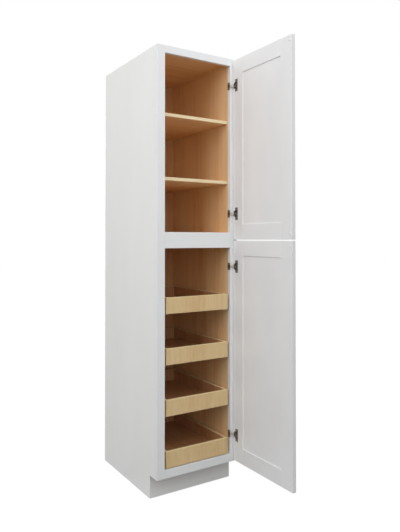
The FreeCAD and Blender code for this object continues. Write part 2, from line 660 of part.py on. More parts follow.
# Doors
def build_door(name, low_z, high_z):
    """Two grooved stiles, two tongued rails, a floating panel, hinge cups and bumpers."""
    member = S["door_member_width"]
    groove = S["door_groove_depth"]
    groove_near = DOOR_INNER_FACE - S["door_panel_recess"]
    groove_far = groove_near - S["door_panel_thickness"]
    cup_heights = (low_z + HINGE_DISTANCE, high_z - HINGE_DISTANCE)
    bores = [Circle(CUP_CENTRE, height, S["cup_diameter"] / 2) for height in cup_heights]
    door_parts = []
    hinge_inner = DOOR_HINGE_EDGE - member
    free_inner = DOOR_FREE_EDGE + member
    stiles = (
        ("_hinge_stile", hinge_inner, DOOR_HINGE_EDGE, hinge_inner, hinge_inner + groove),
        ("_free_stile", DOOR_FREE_EDGE, free_inner, free_inner - groove, free_inner),
    )
    for suffix, low_x, high_x, groove_low, groove_high in stiles:
        outline = rectangle(low_x, high_x, DOOR_OUTER_FACE, DOOR_INNER_FACE)
        slot = rectangle(groove_low, groove_high, groove_far, groove_near)
        steps = [
            pad("XY", low_z, high_z - low_z, [outline]),
            pocket("XY", low_z, high_z - low_z, [slot]),
        ]
        if suffix == "_hinge_stile":
            steps.append(pocket("XZ", DOOR_INNER_FACE - S["cup_depth"], S["cup_depth"], bores))
        door_parts.append((suffix, make_body(name + suffix, steps)))
    rails = (
        ("_top_rail", high_z - member, high_z, high_z - member, high_z - member + groove),
        ("_bottom_rail", low_z, low_z + member, low_z + member - groove, low_z + member),
    )
    for suffix, low, high, groove_low, groove_high in rails:
        board = pad("YZ", free_inner, hinge_inner - free_inner,
                    [rectangle(DOOR_OUTER_FACE, DOOR_INNER_FACE, low, high)])
        tongue = pad("YZ", free_inner - groove, hinge_inner - free_inner + groove * 2,
                     [rectangle(groove_far, groove_near, low, high)])
        slot = pocket("YZ", free_inner - groove - OVER, hinge_inner - free_inner + (groove + OVER) * 2,
                      [rectangle(groove_far, groove_near, groove_low, groove_high)])
        door_parts.append((suffix, make_body(name + suffix, [board, tongue, slot])))
    spread = groove - S["door_panel_float"]
    panel = pad("XZ", groove_far, S["door_panel_thickness"],
                [rectangle(free_inner - spread, hinge_inner + spread, low_z + member - spread,
                           high_z - member + spread)])
    door_parts.append(("_panel", make_body(name + "_panel", [panel])))
    cups = [hinge_cup(height) for height in cup_heights]
    door_parts.append(("_hinge_cups", make_group(name + "_hinge_cups", cups)))
    bumper_x = DOOR_FREE_EDGE + S["bumper_edge_distance"]
    bumper_height = S["door_frame_gap"] - S["bumper_play"]
    bumpers = []
    for z in (low_z + S["bumper_end_distance"], high_z - S["bumper_end_distance"]):
        outline = Circle(bumper_x, z, S["bumper_diameter"] / 2)
        bumpers.append(make_body("bumper", [pad("XZ", DOOR_INNER_FACE, bumper_height, [outline])]))
    door_parts.append(("_bumpers", make_group(name + "_bumpers", bumpers)))
    for suffix, part in door_parts:
        place(part, PIN_X, PIN_Y, 0, S["door_open_angle"])
        keep(part, name + suffix)


# Trays and their slides
def mitred(low_u, high_u, near_v, far_v, thickness):
    """A board seen from above, with both ends mitred, its long face at near_v."""
    return [(low_u, near_v), (high_u, near_v), (high_u - thickness, far_v), (low_u + thickness, far_v)]


def build_tray(number, low_z):
    """A mitred box with a let in bottom and a back notched over its slides, and the slides."""
    name = "tray_" + str(number)
    board = S["tray_board_thickness"]
    groove_z = low_z + S["tray_bottom_recess"]
    deep = S["tray_groove_depth"]
    inner_left = TRAY_LEFT + board
    inner_right = TRAY_RIGHT - board
    inner_front = TRAY_FRONT + board
    inner_back = TRAY_BACK - board
    grooves = rectangle(inner_left - deep, inner_right + deep, inner_front - deep, inner_back + deep)
    outlines = (
        ("_front", mitred(TRAY_LEFT, TRAY_RIGHT, TRAY_FRONT, inner_front, board)),
        ("_back", mitred(TRAY_LEFT, TRAY_RIGHT, TRAY_BACK, inner_back, board)),
        ("_left", [(v, u) for u, v in mitred(TRAY_FRONT, TRAY_BACK, TRAY_LEFT, inner_left, board)]),
        ("_right", [(v, u) for u, v in mitred(TRAY_FRONT, TRAY_BACK, TRAY_RIGHT, inner_right, board)]),
    )
    notches = [rectangle(low - S["slide_play"], high + S["slide_play"], low_z - OVER, groove_z)
               for low, high in (LEFT_RUNNER_SPAN, RIGHT_RUNNER_SPAN)]
    boards = {}
    for suffix, outline in outlines:
        steps = [
            pad("XY", low_z, S["tray_height"], [outline]),
            pocket("XY", groove_z, S["tray_bottom_thickness"], [grooves]),
        ]
        if suffix == "_back":
            steps.append(pocket("XZ", inner_back, board, notches))
        boards[suffix] = make_body(name + suffix, steps)
    keep(boards["_front"], name + "_front")
    keep(boards["_back"], name + "_back")
    keep(make_group(name + "_sides", [boards["_left"], boards["_right"]]), name + "_sides")
    bottom = make_board(name + "_bottom", inner_left - deep, inner_front - deep, groove_z,
                        inner_right - inner_left + deep * 2, inner_back - inner_front + deep * 2,
                        S["tray_bottom_thickness"])
    keep(bottom, name + "_bottom")
    return build_slides(name, low_z, groove_z)


def channel(low_x, high_x, high_z, low_z, sheet):
    """A sheet channel seen from its end, open below."""
    return [
        (low_x, low_z),
        (low_x + sheet, low_z),
        (low_x + sheet, high_z - sheet),
        (high_x - sheet, high_z - sheet),
        (high_x - sheet, low_z),
        (high_x, low_z),
        (high_x, high_z),
        (low_x, high_z),
    ]


def cabinet_rail(wall_x, near_x, far_x, top_z, low_z, sheet):
    """The fixed rail seen from its end: a flange on the wall, a web under the tray side and a channel."""
    inward = 1 if near_x.number > wall_x.number else -1
    web_low = low_z - S["slide_web_drop"]
    web_high = web_low + sheet
    flange_top = web_low + S["slide_flange_height"]
    return [
        (wall_x, web_low),
        (near_x + sheet * inward, web_low),
        (near_x + sheet * inward, top_z - sheet),
        (far_x - sheet * inward, top_z - sheet),
        (far_x - sheet * inward, web_low),
        (far_x, web_low),
        (far_x, top_z),
        (near_x, top_z),
        (near_x, web_high),
        (wall_x + sheet * inward, web_high),
        (wall_x + sheet * inward, flange_top),
        (wall_x, flange_top),
    ]


def build_slides(name, low_z, under_z):
    """The nested rails, middles and runners of one tray; the fixed rails are handed back."""
    sheet = S["slide_sheet"]
    step = sheet + S["slide_play"]
    start = TRAY_FRONT + S["tray_board_thickness"] + S["slide_hook_length"]
    runner_low = under_z - S["slide_runner_height"]
    sides = (
        (OPENING_LEFT, 1, LEFT_RUNNER_SPAN),
        (OPENING_RIGHT, -1, RIGHT_RUNNER_SPAN),
    )
    rails = []
    middles = []
    runners = []
    for wall_x, inward, (low_x, high_x) in sides:
        near, far = (low_x, high_x) if inward > 0 else (high_x, low_x)
        runner = channel(low_x, high_x, under_z, runner_low, sheet)
        middle = channel(low_x + step, high_x - step, under_z - step, runner_low, sheet)
        rail = cabinet_rail(wall_x, near + step * 2 * inward, far - step * 2 * inward, under_z - step * 2,
                            low_z, sheet)
        runners.append(make_body(name + "_runner", [pad("XZ", start, SLIDE_LENGTH, [runner])]))
        middles.append(make_body(name + "_middle", [pad("XZ", start, SLIDE_LENGTH, [middle])]))
        rails.append(make_body("cabinet_rail", [pad("XZ", start, SLIDE_LENGTH, [rail])]))
    keep(make_group(name + "_slide_middles", middles), name + "_slide_middles")
    keep(make_group(name + "_runners", runners), name + "_runners")
    return rails


def build_hinges():
    """Arms, pins and screws of the four hinges."""
    keep(make_group("hinge_arms", [hinge_arm(height) for height in HINGE_HEIGHTS]), "hinge_arms")
    keep(make_group("hinge_pins", [hinge_pin(height) for height in HINGE_HEIGHTS]), "hinge_pins")
    screws = [hinge_screw(height) for height in SCREW_HEIGHTS]
    keep(make_group("hinge_arm_screws", screws), "hinge_arm_screws")


def build_trays():
    """Four trays from the bottom up, numbered from the top, and the fixed rails."""
    rails = []
    for index, low_z in enumerate(TRAY_LOWS):
        rails.extend(build_tray(TRAY_COUNT - index, low_z))
    keep(make_group("slide_cabinet_rails", rails), "slide_cabinet_rails")


def check_and_write():
    """Stop on any failed object or shape, then write each piece under its own name."""
    for thing in doc.Objects:
        if "Invalid" in thing.State or "Error" in thing.State:
            raise RuntimeError("failed object: " + thing.Label)
    for cut in cuts_made:
        if cut.Shape.Volume >= cut.BaseFeature.Shape.Volume:
            raise RuntimeError("a cut that removes nothing: " + cut.Label)
    for piece in pieces:
        if piece.Shape.isNull() or not piece.Shape.isValid():
            raise RuntimeError("bad shape: " + piece.Label)
    os.makedirs("parts", exist_ok=True)
    for piece in pieces:
        piece.Shape.exportStep("parts/" + piece.Label + ".step")
    print(len(pieces), "pieces written")


build_carcass()
build_liners()
build_face_frame()
build_shelves()
build_hinges()
for door_name, door_low, door_high in DOORS:
    build_door(door_name, door_low, door_high)
build_trays()
doc.recompute()
check_and_write()
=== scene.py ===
import json
import math

import bmesh
import bpy
from mathutils import Matrix, Vector


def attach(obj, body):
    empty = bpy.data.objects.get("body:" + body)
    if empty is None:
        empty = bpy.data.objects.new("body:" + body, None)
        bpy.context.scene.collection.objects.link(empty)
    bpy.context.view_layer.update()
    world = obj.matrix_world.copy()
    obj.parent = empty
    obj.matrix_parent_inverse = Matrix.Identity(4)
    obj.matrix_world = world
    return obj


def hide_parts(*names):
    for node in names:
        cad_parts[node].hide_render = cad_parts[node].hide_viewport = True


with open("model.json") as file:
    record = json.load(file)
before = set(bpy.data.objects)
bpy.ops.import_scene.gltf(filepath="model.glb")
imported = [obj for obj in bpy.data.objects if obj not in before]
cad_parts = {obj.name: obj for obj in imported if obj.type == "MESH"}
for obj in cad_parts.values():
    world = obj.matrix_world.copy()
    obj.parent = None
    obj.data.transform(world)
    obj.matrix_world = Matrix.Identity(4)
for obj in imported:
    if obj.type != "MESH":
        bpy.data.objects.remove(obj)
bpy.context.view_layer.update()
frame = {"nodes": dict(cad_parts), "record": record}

# Tall utility cabinet: the finish of every board, the small fasteners, the light and the camera
# The origin is where the middle of the back meets the floor: +X right, +Y to the wall, +Z up

MM = 0.001
NODES = frame["nodes"]
BODY_OF_NODE = {}
for body_name, members in frame["record"]["behaviour"]["bodies"].items():
    for member in members:
        BODY_OF_NODE[member] = body_name
DOORS = ("upper_door", "lower_door")
TRAYS = ("tray_1", "tray_2", "tray_3", "tray_4")
ALONG = {"x": 0, "y": 1, "z": 2}


# Colour and shader helpers
def linear(code):
    """A screen colour such as "#F0F0EE" as the linear colour that a shader takes."""
    shares = [int(code[place:place + 2], 16) / 255 for place in (1, 3, 5)]
    curve = [share / 12.92 if share <= 0.04045 else ((share + 0.055) / 1.055) ** 2.4 for share in shares]
    return (*curve, 1.0)


def add(tree, kind, inputs, **settings):
    """Add a node to a tree: its inputs are numbers, colours, or the outputs of other nodes."""
    made = tree.nodes.new(kind)
    for name, value in settings.items():
        setattr(made, name, value)
    for name, value in inputs.items():
        if isinstance(value, bpy.types.NodeSocket):
            tree.links.new(value, made.inputs[name])
        else:
            made.inputs[name].default_value = value
    return made


def start_material(name, constants):
    """A material whose shader has these sockets set, with its tree and its shader."""
    material = bpy.data.materials.new(name)
    material.use_nodes = True
    tree = material.node_tree
    shader = tree.nodes["Principled BSDF"]
    for socket, value in constants.items():
        shader.inputs[socket].default_value = value
    return material, tree, shader


def stretched_noise(tree, grain, across, along, detail=4.0, rough=0.55):
    """Noise in streaks that are as wide as across and as long as along, in metres, lying along an axis."""
    place = add(tree, "ShaderNodeTexCoord", {}).outputs["Object"]
    scale = [1 / across] * 3
    scale[ALONG[grain]] = 1 / along
    streaks = add(tree, "ShaderNodeMapping", {"Vector": place, "Scale": scale})
    noise = add(tree, "ShaderNodeTexNoise", {
        "Vector": streaks.outputs["Vector"], "Scale": 1.0, "Detail": detail, "Roughness": rough})
    return noise.outputs["Fac"]


def colour_stops(tree, value, stops):
    """A colour for each value between the stops, which are pairs of a place and a screen colour."""
    ramp = add(tree, "ShaderNodeValToRGB", {"Fac": value})
    elements = ramp.color_ramp.elements
    while len(elements) < len(stops):
        elements.new(0.5)
    for element, (place, code) in zip(elements, stops):
        element.position = place
        element.color = linear(code)
    return ramp.outputs["Color"]


def blend(tree, share, first, second):
    """A value that takes a share from the second value and the rest from the first."""
    mixed = add(tree, "ShaderNodeMix", {"Factor": share, "A": first, "B": second}, data_type="FLOAT")
    return mixed.outputs["Result"]


def rough_between(tree, shader, value, low, high):
    """Let the shader's roughness follow a value between two limits."""
    limits = add(tree, "ShaderNodeMapRange", {"Value": value, "To Min": low, "To Max": high})
    tree.links.new(limits.outputs["Result"], shader.inputs["Roughness"])


def colour_and_bump(tree, shader, colour, height, depth):
    """Give the shader a colour, and a bump of a depth in metres that follows a height."""
    tree.links.new(colour, shader.inputs["Base Color"])
    raised = add(tree, "ShaderNodeBump", {"Height": height, "Strength": 1.0, "Distance": depth})
    tree.links.new(raised.outputs["Normal"], shader.inputs["Normal"])


# Finishes
def lacquer(grain):
    """Catalysed white lacquer, sprayed on sanded maple.

    It is a satin white with a little of the grain showing through as faint long ripples.
    """
    material, tree, shader = start_material("white_lacquer_" + grain, {"IOR": 1.5})
    ripple = stretched_noise(tree, grain, 3 * MM, 90 * MM)
    cloud = stretched_noise(tree, grain, 120 * MM, 300 * MM, 2.0)
    colour = colour_stops(tree, cloud, ((0.3, "#EDEEEF"), (0.7, "#F1F2F3")))
    rough_between(tree, shader, ripple, 0.34, 0.44)
    colour_and_bump(tree, shader, colour, ripple, 0.03 * MM)
    return material


def side_foil():
    """White foil pressed on plywood: an even white with a fine pebbled surface."""
    material, tree, shader = start_material("white_side_foil", {"IOR": 1.5})
    # A real pebble is 0.3 mm across, and it is drawn at 1.5 mm so that it can show
    pebble = stretched_noise(tree, "z", 1.5 * MM, 1.5 * MM, 1.0)
    cloud = stretched_noise(tree, "z", 200 * MM, 500 * MM, 2.0)
    colour = colour_stops(tree, cloud, ((0.3, "#EFEFEE"), (0.7, "#F2F2F1")))
    rough_between(tree, shader, pebble, 0.40, 0.50)
    colour_and_bump(tree, shader, colour, pebble, 0.02 * MM)
    return material


def veneer(name, grain, stops, figure_size, rough_limits):
    """Sliced maple veneer on plywood under a thin clear coat.

    Soft streaks of darker wood lie along the grain, with short pores between them and a slow change
    of tone from one leaf to the next.
    """
    material, tree, shader = start_material(name, {"IOR": 1.5, "Coat Weight": 0.15, "Coat Roughness": 0.3})
    figure = stretched_noise(tree, grain, *figure_size, 5.0, 0.6)
    # Real pores are 0.1 mm across, and they are drawn at 2 mm so that they can show
    pores = stretched_noise(tree, grain, 2 * MM, 34 * MM, 3.0, 0.6)
    leaf = stretched_noise(tree, grain, 110 * MM, 900 * MM, 1.0)
    tone = blend(tree, 0.3, blend(tree, 0.36, figure, pores), leaf)
    colour = colour_stops(tree, tone, stops)
    rough_between(tree, shader, pores, *rough_limits)
    colour_and_bump(tree, shader, colour, pores, 0.05 * MM)
    return material


def edge_tape(name, grain, stops):
    """Maple edge tape, ironed on and trimmed.

    It is paler than the veneer and nearly matt, with fine straight grain.
    """
    material, tree, shader = start_material(name, {"IOR": 1.45, "Specular IOR Level": 0.3})
    figure = stretched_noise(tree, grain, 5 * MM, 70 * MM, 4.0)
    colour = colour_stops(tree, figure, stops)
    rough_between(tree, shader, figure, 0.60, 0.72)
    colour_and_bump(tree, shader, colour, figure, 0.03 * MM)
    return material


# The wave texture repeats every 0.314 units at a scale of 1
WAVE_REPEAT = 0.314
LAYER_PAIR = 3.2 * MM


def ply_edge(across):
    """The sawn edge of plywood: light and dark layers across the board's thickness, rough to the saw."""
    material, tree, shader = start_material("sawn_ply_edge_" + across, {"IOR": 1.5})
    place = add(tree, "ShaderNodeTexCoord", {}).outputs["Object"]
    layers = add(tree, "ShaderNodeTexWave", {
        "Vector": place, "Scale": WAVE_REPEAT / LAYER_PAIR, "Distortion": 0.6, "Detail": 2.0,
        "Detail Scale": 0.4}, wave_type="BANDS", bands_direction=across.upper())
    fibres = stretched_noise(tree, across, 4 * MM, 1.2 * MM, 3.0)
    tone = blend(tree, 0.35, layers.outputs["Fac"], fibres)
    colour = colour_stops(tree, tone, ((0.2, "#A9845A"), (0.5, "#C9A878"), (0.8, "#DCC39A")))
    rough_between(tree, shader, fibres, 0.65, 0.85)
    colour_and_bump(tree, shader, colour, tone, 0.15 * MM)
    return material


def planed_pine(grain):
    """Unfinished pine: straight growth rings in yellow and amber, matt, with a fuzzy planed surface."""
    material, tree, shader = start_material("planed_pine_" + grain, {"IOR": 1.5})
    rings = stretched_noise(tree, grain, 9 * MM, 700 * MM, 2.0, 0.4)
    fibres = stretched_noise(tree, grain, 1.5 * MM, 40 * MM, 3.0)
    tone = blend(tree, 0.3, rings, fibres)
    colour = colour_stops(tree, tone, ((0.3, "#B98F58"), (0.48, "#D6B27C"), (0.7, "#E3C896")))
    rough_between(tree, shader, fibres, 0.6, 0.8)
    colour_and_bump(tree, shader, colour, fibres, 0.1 * MM)
    return material


def nickel():
    """Nickel plate on pressed steel: a dark, slightly warm satin shine with faint rolling marks."""
    material, tree, shader = start_material("nickel_plated_steel", {"Metallic": 1.0})
    marks = stretched_noise(tree, "z", 0.8 * MM, 6 * MM, 3.0)
    colour = colour_stops(tree, marks, ((0.3, "#8F8983"), (0.7, "#A8A29C")))
    rough_between(tree, shader, marks, 0.28, 0.42)
    colour_and_bump(tree, shader, colour, marks, 0.01 * MM)
    return material


def galvanised():
    """Hot dipped galvanised sheet: a cool grey, with zinc crystals that catch the light one by one."""
    material, tree, shader = start_material("galvanised_sheet", {"Metallic": 1.0})
    place = add(tree, "ShaderNodeTexCoord", {}).outputs["Object"]
    crystals = add(tree, "ShaderNodeTexVoronoi", {"Vector": place, "Scale": 1 / (5 * MM)})
    tone = add(tree, "ShaderNodeSeparateColor", {"Color": crystals.outputs["Color"]}).outputs["Red"]
    marks = stretched_noise(tree, "y", 0.8 * MM, 30 * MM, 3.0)
    colour = colour_stops(tree, tone, ((0.0, "#ADB0B2"), (1.0, "#C6C8CA")))
    rough_between(tree, shader, tone, 0.46, 0.60)
    colour_and_bump(tree, shader, colour, marks, 0.01 * MM)
    return material


def soft_bumper():
    """Cast polyurethane, milky all through and a little shiny, so it nearly vanishes on white paint."""
    material, tree, shader = start_material("milky_polyurethane", {
        "IOR": 1.49, "Subsurface Weight": 0.3, "Subsurface Scale": 1 * MM, "Base Color": linear("#EAEBE8")})
    cloud = stretched_noise(tree, "z", 3 * MM, 3 * MM, 2.0)
    rough_between(tree, shader, cloud, 0.18, 0.34)
    return material


def clear_plastic():
    """Moulded polycarbonate with a honey haze and a smooth shine, so that a pin hardly shows on the wood."""
    material, tree, shader = start_material("hazy_polycarbonate", {
        "IOR": 1.58, "Transmission Weight": 0.12, "Base Color": linear("#F0DCBE")})
    cloud = stretched_noise(tree, "z", 2 * MM, 2 * MM, 2.0)
    rough_between(tree, shader, cloud, 0.12, 0.25)
    return material


# Tones of the woods, from the dark streaks to the light ones
CABINET_TONES = ((0.34, "#DDAA73"), (0.48, "#F0C692"), (0.62, "#F4D3A6"))
# The back's tones are darker than the cabinet's: painted shade for the dim back of the cabinet
BACK_PAINTED_SHADE_TONES = ((0.34, "#C48E5B"), (0.48, "#D8A876"), (0.62, "#E0B888"))
# The tray insides take darker tones than the tray outsides: painted shade inside the trays
TRAY_INSIDE_PAINTED_SHADE_TONES = ((0.34, "#B18052"), (0.48, "#C69468"), (0.62, "#D2A47A"))
SHELF_TAPE_TONES = ((0.3, "#E6CFA3"), (0.5, "#F1DEB5"), (0.7, "#F7E8C6"))
# The tray tape is real on the top rims, and on the lower edges and eased edges of the trays its pale tone is
# a painted highlight
TRAY_TAPE_AND_HIGHLIGHT_TONES = ((0.3, "#E0C692"), (0.5, "#EDD7A8"), (0.7, "#F2E1B9"))
TRAY_TONES = ((0.3, "#CDA975"), (0.48, "#DBBC89"), (0.66, "#E2C898"))
# Width and length of the streaks, and the limits of the roughness
CABINET_FIGURE = (14 * MM, 420 * MM)
TRAY_FIGURE = (15 * MM, 130 * MM)
TRAY_INSIDE_FIGURE = (10 * MM, 420 * MM)
SATIN = (0.42, 0.56)
TRAY_SATIN = (0.42, 0.54)
# Every finish that the pieces take, by the axis of its grain where it has one
LACQUER = {grain: lacquer(grain) for grain in ALONG}
CABINET_VENEER = {grain: veneer("maple_veneer_" + grain, grain, CABINET_TONES, CABINET_FIGURE, SATIN)
                  for grain in "xz"}
BACK_VENEER_PAINTED_SHADE = veneer("maple_back_veneer_painted_shade", "z", BACK_PAINTED_SHADE_TONES, CABINET_FIGURE, SATIN)
TRAY_VENEER = veneer("tray_veneer_z", "z", TRAY_TONES, TRAY_FIGURE, TRAY_SATIN)
TRAY_INSIDE_PAINTED_SHADE = {grain: veneer("tray_inside_veneer_painted_shade_" + grain, grain, TRAY_INSIDE_PAINTED_SHADE_TONES, TRAY_INSIDE_FIGURE,
                             SATIN) for grain in "yz"}
SHELF_TAPE = edge_tape("shelf_edge_tape", "x", SHELF_TAPE_TONES)
TRAY_TAPE_AND_HIGHLIGHT = {grain: edge_tape("tray_edge_tape_and_painted_highlight_" + grain, grain, TRAY_TAPE_AND_HIGHLIGHT_TONES) for grain in ALONG}
PLY = {across: ply_edge(across) for across in ALONG}
PINE = {grain: planed_pine(grain) for grain in "xz"}
FOIL = side_foil()
NICKEL = nickel()
GALVANISED = galvanised()
BUMPER = soft_bumper()
CLEAR = clear_plastic()


# Boards: each CAD board is copied, its long edges are eased and each face gets its own finish
MERGE_DISTANCE = 0.01 * MM
# An edge is eased where it turns by more than SHARP and is longer than SHORT_EDGE
SHORT_EDGE = 9 * MM
SHARP = math.radians(30)
# Facets that turn by less than this become one face
FLAT = math.radians(1)
# How far the edges of each kind of piece are eased
SIDE_EASE = 0.5 * MM
SHEET_EASE = 0.3 * MM
DECK_EASE = 0.4 * MM
BOARD_EASE = 0.8 * MM
FRAME_EASE = 0.6 * MM
TRAY_EASE = 1.3 * MM
SMALL_EASE = 0.25 * MM


def facing(face):
    """Where a face looks: to the cabinet's middle plane or away from it, or along an axis such as "-y"."""
    axis = max(ALONG, key=lambda name: abs(face.normal[ALONG[name]]))
    if axis == "x":
        return "inward" if face.normal.x * face.calc_center_median().x < 0 else "outward"
    sign = "+" if face.normal[ALONG[axis]] > 0 else "-"
    return sign + axis


def ease_edges(piece, radius, material_place):
    """Round the long sharp edges of a board to a radius; a place of -1 keeps the finish of the faces."""
    ease = piece.modifiers.new("eased edges", "BEVEL")
    ease.limit_method = "WEIGHT"
    ease.width = radius
    ease.segments = 2
    ease.use_clamp_overlap = True
    ease.material = material_place


def dressed(node, suffix, finishes, radius):
    """Stand a finished copy in for a CAD piece.

    The finishes name a material for each way a face looks, and one for the eased edges where it differs.
    """
    mesh = bpy.data.meshes.new(node + suffix)
    shape = bmesh.new()
    shape.from_mesh(NODES[node].data)
    bmesh.ops.remove_doubles(shape, verts=shape.verts, dist=MERGE_DISTANCE)
    bmesh.ops.dissolve_limit(shape, angle_limit=FLAT, verts=shape.verts, edges=shape.edges)
    materials = list(dict.fromkeys(finishes.values()))
    for face in shape.faces:
        face.smooth = False
        material = finishes.get(facing(face), finishes["rest"])
        face.material_index = materials.index(material)
    weights = shape.edges.layers.float.new("bevel_weight_edge")
    for edge in shape.edges:
        sharp = len(edge.link_faces) == 2 and edge.calc_face_angle() > SHARP
        if sharp and edge.calc_length() > SHORT_EDGE:
            edge[weights] = 1.0
    shape.to_mesh(mesh)
    shape.free()
    for material in materials:
        mesh.materials.append(material)
    piece = bpy.data.objects.new(node + suffix, mesh)
    bpy.context.scene.collection.objects.link(piece)
    arris = materials.index(finishes["arris"]) if "arris" in finishes else -1
    ease_edges(piece, radius, arris)
    settle(piece, BODY_OF_NODE[node])
    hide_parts(node)
    return piece


def settle(piece, body):
    """Hang a finished piece on the empty of the body that it rides on."""
    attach(piece, body)


def repaint(node, material):
    """Give a CAD piece that keeps its own shape a better finish."""
    data = NODES[node].data
    if not data.materials:
        data.materials.append(material)
    for index in range(len(data.materials)):
        data.materials[index] = material


# Carcass
def dress_carcass():
    """White foil outside, maple veneer inside and sawn ply on the hidden edges."""
    for node in ("left_side_panel", "right_side_panel"):
        dressed(node, "_foiled", {"outward": FOIL, "-y": FOIL, "rest": PLY["x"]}, SIDE_EASE)
    upright = CABINET_VENEER["z"]
    level = CABINET_VENEER["x"]
    dressed("side_liners", "_veneered", {"inward": upright, "outward": upright, "rest": PLY["x"]}, SHEET_EASE)
    for node in ("top_panel", "middle_deck", "bottom_deck"):
        dressed(node, "_veneered", {"+z": level, "-z": level, "rest": PLY["z"]}, DECK_EASE)
    # The back panel takes the darker copy of the maple veneer, which is painted shade for the dim back of the
    # cabinet
    dressed("back_panel", "_veneered", {"-y": BACK_VENEER_PAINTED_SHADE, "+y": BACK_VENEER_PAINTED_SHADE, "rest": PLY["y"]}, SHEET_EASE)
    dressed("toe_kick_board", "_foiled", {"-y": FOIL, "rest": PLY["y"]}, SIDE_EASE)
    dressed("back_rails", "_planed", {"rest": PINE["x"]}, BOARD_EASE)
    dressed("liner_battens", "_planed", {"rest": PINE["z"]}, BOARD_EASE)
    for node in ("lower_shelf", "upper_shelf"):
        dressed(node, "_veneered", {"-y": SHELF_TAPE, "+z": level, "-z": level, "rest": PLY["z"]},
                BOARD_EASE)


# Face frame and doors
def dress_face_frame():
    """White lacquer along the grain of each member."""
    for node, grain in (("left_stile", "z"), ("right_stile", "z"), ("bottom_rail", "x"), ("middle_rail", "x"),
                        ("top_rail", "x")):
        dressed(node, "_lacquered", {"rest": LACQUER[grain]}, FRAME_EASE)


def dress_door(door):
    """The same lacquer on a door, whose rails lie along Y while it is open, and plated hinge cups."""
    for part, grain in (("_hinge_stile", "z"), ("_free_stile", "z"), ("_top_rail", "y"),
                        ("_bottom_rail", "y")):
        dressed(door + part, "_lacquered", {"rest": LACQUER[grain]}, BOARD_EASE)
    dressed(door + "_panel", "_lacquered", {"rest": LACQUER["z"]}, SHEET_EASE)
    dressed(door + "_hinge_cups", "_plated", {"rest": NICKEL}, SMALL_EASE)


# Trays
def dress_tray(tray):
    """Upright veneer on the boards, pale tape on the rim and veneer from front to back on the bottom. The
    inner faces and the bottom take a darker veneer, as painted shade, and the lower edges and eased edges
    take the pale tape, as a painted highlight.
    """
    # The inner faces and the bottom take the darker tray veneer, which is painted shade inside the trays
    for part, rim, inner in (("_front", "x", "+y"), ("_back", "x", "-y"), ("_sides", "y", "inward")):
        # On the top rim the pale tape is real; on the lower edges and the eased edges it is a painted
        # highlight
        dressed(tray + part, "_veneered", {
            "+z": TRAY_TAPE_AND_HIGHLIGHT[rim], "-z": TRAY_TAPE_AND_HIGHLIGHT[rim], "arris": TRAY_TAPE_AND_HIGHLIGHT["z"], inner: TRAY_INSIDE_PAINTED_SHADE["z"],
            "rest": TRAY_VENEER}, TRAY_EASE)
    dressed(tray + "_bottom", "_veneered", {"rest": TRAY_INSIDE_PAINTED_SHADE["y"]}, SHEET_EASE)


# Screws are made by one tree of geometry nodes, a head with a cross recess at each point
# The recess is in shares of the head: how long, how wide, and how high its floor lies
RECESS_LENGTH = 1.1
RECESS_WIDTH = 0.26
RECESS_FLOOR = 0.45


def screw_tree():
    """Heads with a cross recess, one at each point, turned to the point's facing."""
    tree = bpy.data.node_groups.new("cross recess heads", "GeometryNodeTree")
    face = tree.interface
    face.new_socket("Points", in_out="INPUT", socket_type="NodeSocketGeometry")
    for name in ("Head Radius", "Head Height"):
        face.new_socket(name, in_out="INPUT", socket_type="NodeSocketFloat")
    face.new_socket("Finish", in_out="INPUT", socket_type="NodeSocketMaterial")
    face.new_socket("Heads", in_out="OUTPUT", socket_type="NodeSocketGeometry")
    given = add(tree, "NodeGroupInput", {}).outputs
    ball = add(tree, "GeometryNodeMeshUVSphere", {"Segments": 24, "Rings": 12, "Radius": 1.0})
    cut = add(tree, "GeometryNodeMeshBoolean", {"Mesh 1": ball.outputs["Mesh"]}, operation="DIFFERENCE",
              solver="EXACT")
    # The first cutter takes off the lower half, and the other two make the recess
    for length, width, tall, floor in (
            (2.4, 2.4, 1.2, -1.2),
            (RECESS_LENGTH, RECESS_WIDTH, 1.0, RECESS_FLOOR),
            (RECESS_WIDTH, RECESS_LENGTH, 1.0, RECESS_FLOOR)):
        cutter = add(tree, "GeometryNodeMeshCube", {"Size": (length, width, tall)})
        moved = add(tree, "GeometryNodeTransform", {
            "Geometry": cutter.outputs["Mesh"], "Translation": (0, 0, floor + tall / 2)})
        tree.links.new(moved.outputs["Geometry"], cut.inputs["Mesh 2"])
    size = add(tree, "ShaderNodeCombineXYZ", {
        "X": given["Head Radius"], "Y": given["Head Radius"], "Z": given["Head Height"]}).outputs["Vector"]
    head = add(tree, "GeometryNodeTransform", {"Geometry": cut.outputs["Mesh"], "Scale": size})
    looks = add(tree, "GeometryNodeInputNamedAttribute", {"Name": "facing"}, data_type="FLOAT_VECTOR")
    turn = add(tree, "FunctionNodeAlignRotationToVector", {"Vector": looks.outputs["Attribute"]}, axis="Z")
    placed = add(tree, "GeometryNodeInstanceOnPoints", {
        "Points": given["Points"], "Instance": head.outputs["Geometry"],
        "Rotation": turn.outputs["Rotation"]})
    real = add(tree, "GeometryNodeRealizeInstances", {"Geometry": placed.outputs["Instances"]})
    done = add(tree, "GeometryNodeSetMaterial", {
        "Geometry": real.outputs["Geometry"], "Material": given["Finish"]})
    add(tree, "NodeGroupOutput", {"Heads": done.outputs["Geometry"]})
    return tree


SCREWS = screw_tree()


